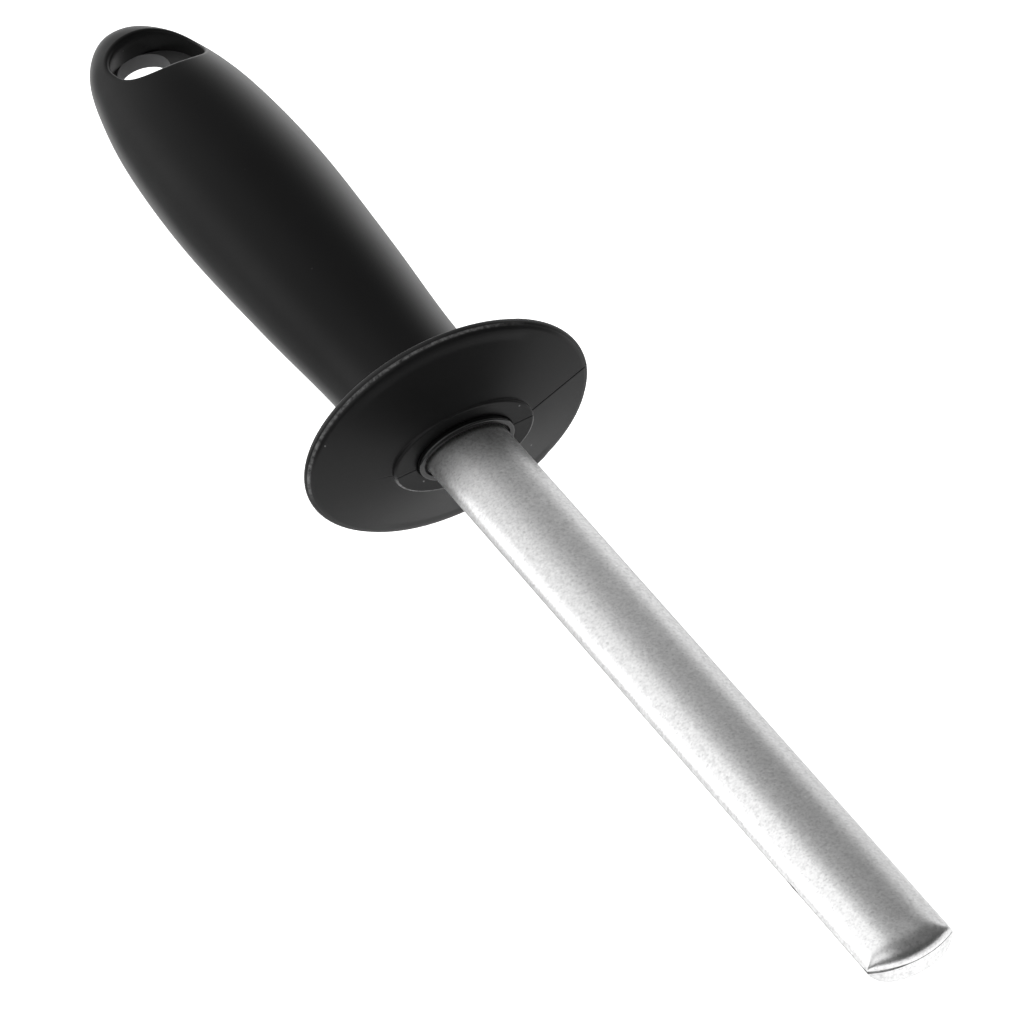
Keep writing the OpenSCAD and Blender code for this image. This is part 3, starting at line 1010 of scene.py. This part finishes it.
def floor_glow(nt):
    """Strength of the floor's glow over the plan: the long soft step under the tool, a patch ahead
    of the tip, and patches to the left and to the right."""
    along = split(nt, coordinates(nt))
    under = smooth_map(nt, along["X"], -0.12, 0.06, 0.12, 0.62)
    ahead = calc(nt, "MULTIPLY", smooth_map(nt, along["X"], 0.15, 0.24, 0.0, 0.27),
                 smooth_map(nt, along["X"], 1.2, 0.7, 0.0, 1.0))
    ahead = calc(nt, "MULTIPLY", ahead, smooth_map(nt, along["Y"], -0.06, 0.0, 0.0, 1.0))
    right = calc(nt, "MULTIPLY", smooth_map(nt, along["Y"], 0.12, 0.4, 0.0, 0.4),
                 smooth_map(nt, along["X"], 0.12, 0.0, 0.0, 1.0))
    left = smooth_map(nt, along["Y"], -0.08, -0.2, 0.0, 0.15)
    patches = calc(nt, "MAXIMUM", ahead, calc(nt, "ADD", left, right))
    return calc(nt, "ADD", under, patches)


def make_floor():
    """Pale floor under the tool, seen evenly white by the camera."""
    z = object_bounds()[0].z - FLOOR_DROP
    ticks = [-FLOOR_HALF + 2 * FLOOR_HALF * i / FLOOR_CELLS for i in range(FLOOR_CELLS + 1)]
    mesh = bpy.data.meshes.new("floor")
    mesh.from_pydata([(x, y, z) for y in ticks for x in ticks], [],
                     grid_faces(len(ticks), len(ticks)))
    floor = bpy.data.objects.new("studio_floor", mesh)
    bpy.context.scene.collection.objects.link(floor)
    mat, nt, bsdf = material("pale_floor")
    bsdf.inputs["Base Color"].default_value = (0.9, 0.9, 0.9, 1)
    bsdf.inputs["Roughness"].default_value = 0.7
    bsdf.inputs["Emission Color"].default_value = (1, 1, 1, 1)
    seen = calc(nt, "MULTIPLY", camera_ray(nt), FLOOR_SEEN)
    nt.links.new(calc(nt, "MAXIMUM", floor_glow(nt), seen), bsdf.inputs["Emission Strength"])
    mesh.materials.append(mat)


def make_world():
    """Room that lights the tool: dim all round, bright behind it and in a few soft patches. The
    camera itself sees plain white."""
    world = bpy.data.worlds.new("studio")
    bpy.context.scene.world = world
    world.use_nodes = True
    nt = world.node_tree
    bg = nt.nodes["Background"]
    bg.inputs["Color"].default_value = (1, 1, 1, 1)
    around = coordinates(nt, "Generated")
    axes = split(nt, around)
    behind = smooth_map(nt, axes["X"], -0.15, -0.6, 0.0, 1.0)
    across = smooth_map(nt, axes["Y"], 0.27, -0.22, 0.25, 0.95)
    total = calc(nt, "ADD", ROOM_LEVEL, calc(nt, "MULTIPLY", behind, across))
    for direction, inner, outer, strength in ROOM:
        towards = vector_math(nt, "DOT_PRODUCT", around, Vector(direction).normalized(), "Value")
        edge, full = (math.cos(math.radians(deg)) for deg in (outer, inner))
        total = calc(nt, "ADD", total, smooth_map(nt, towards, edge, full, 0.0, strength))
    nt.links.new(calc(nt, "MAXIMUM", total, camera_ray(nt)), bg.inputs["Strength"])


def softbox(name, direction, distance, size, power):
    """Area light that looks at the origin from a direction."""
    light = bpy.data.lights.new(name, "AREA")
    light.shape = "RECTANGLE"
    light.size, light.size_y = size
    light.energy = power
    obj = bpy.data.objects.new(name, light)
    bpy.context.scene.collection.objects.link(obj)
    d = Vector(direction).normalized()
    obj.location = d * distance
    obj.rotation_euler = d.to_track_quat("Z", "Y").to_euler()


make_floor()
make_world()
softbox("left_softbox", (-0.62, -0.78, 0.34), 1.0, (0.9, 0.5), 1.2)
softbox("top_softbox", (-0.35, 0.1, 1.0), 1.4, (1.0, 1.0), 1)
softbox("right_softbox", (-0.5, 0.95, 0.35), 1.2, (0.8, 0.5), 0.8)


# ---------------------------------------------------------------- camera
# It looks at a point from a direction and a distance; the direction's angles, the roll and the lens
# are those of the photo.
LOOK_AT = Vector((12.297, 1.948, -8.834)) * MM
DISTANCE = 1.5189
AZIMUTH, ELEVATION, ROLL = (math.radians(deg) for deg in (70.825, 39.514, -12.666))
LENS, SENSOR = 286.19, 36


def place_camera():
    """Adds the camera and makes it the scene's."""
    data = bpy.data.cameras.new("camera")
    data.lens = LENS
    data.sensor_width = SENSOR
    data.clip_start, data.clip_end = 0.05, 50
    cam = bpy.data.objects.new("camera", data)
    bpy.context.scene.collection.objects.link(cam)
    bpy.context.scene.camera = cam
    level = math.cos(ELEVATION)
    back = Vector((math.sin(AZIMUTH) * level, -math.cos(AZIMUTH) * level, math.sin(ELEVATION)))
    right = Vector((0, 0, 1)).cross(back).normalized()
    up = back.cross(right)
    rolled_right = math.cos(ROLL) * right + math.sin(ROLL) * up
    rolled_up = -math.sin(ROLL) * right + math.cos(ROLL) * up
    turn = Matrix((rolled_right, rolled_up, back)).transposed()
    cam.matrix_world = Matrix.Translation(LOOK_AT + back * DISTANCE) @ turn.to_4x4()


place_camera()
bpy.context.scene.view_settings.view_transform = "Standard"
bpy.context.scene.view_settings.look = "None"
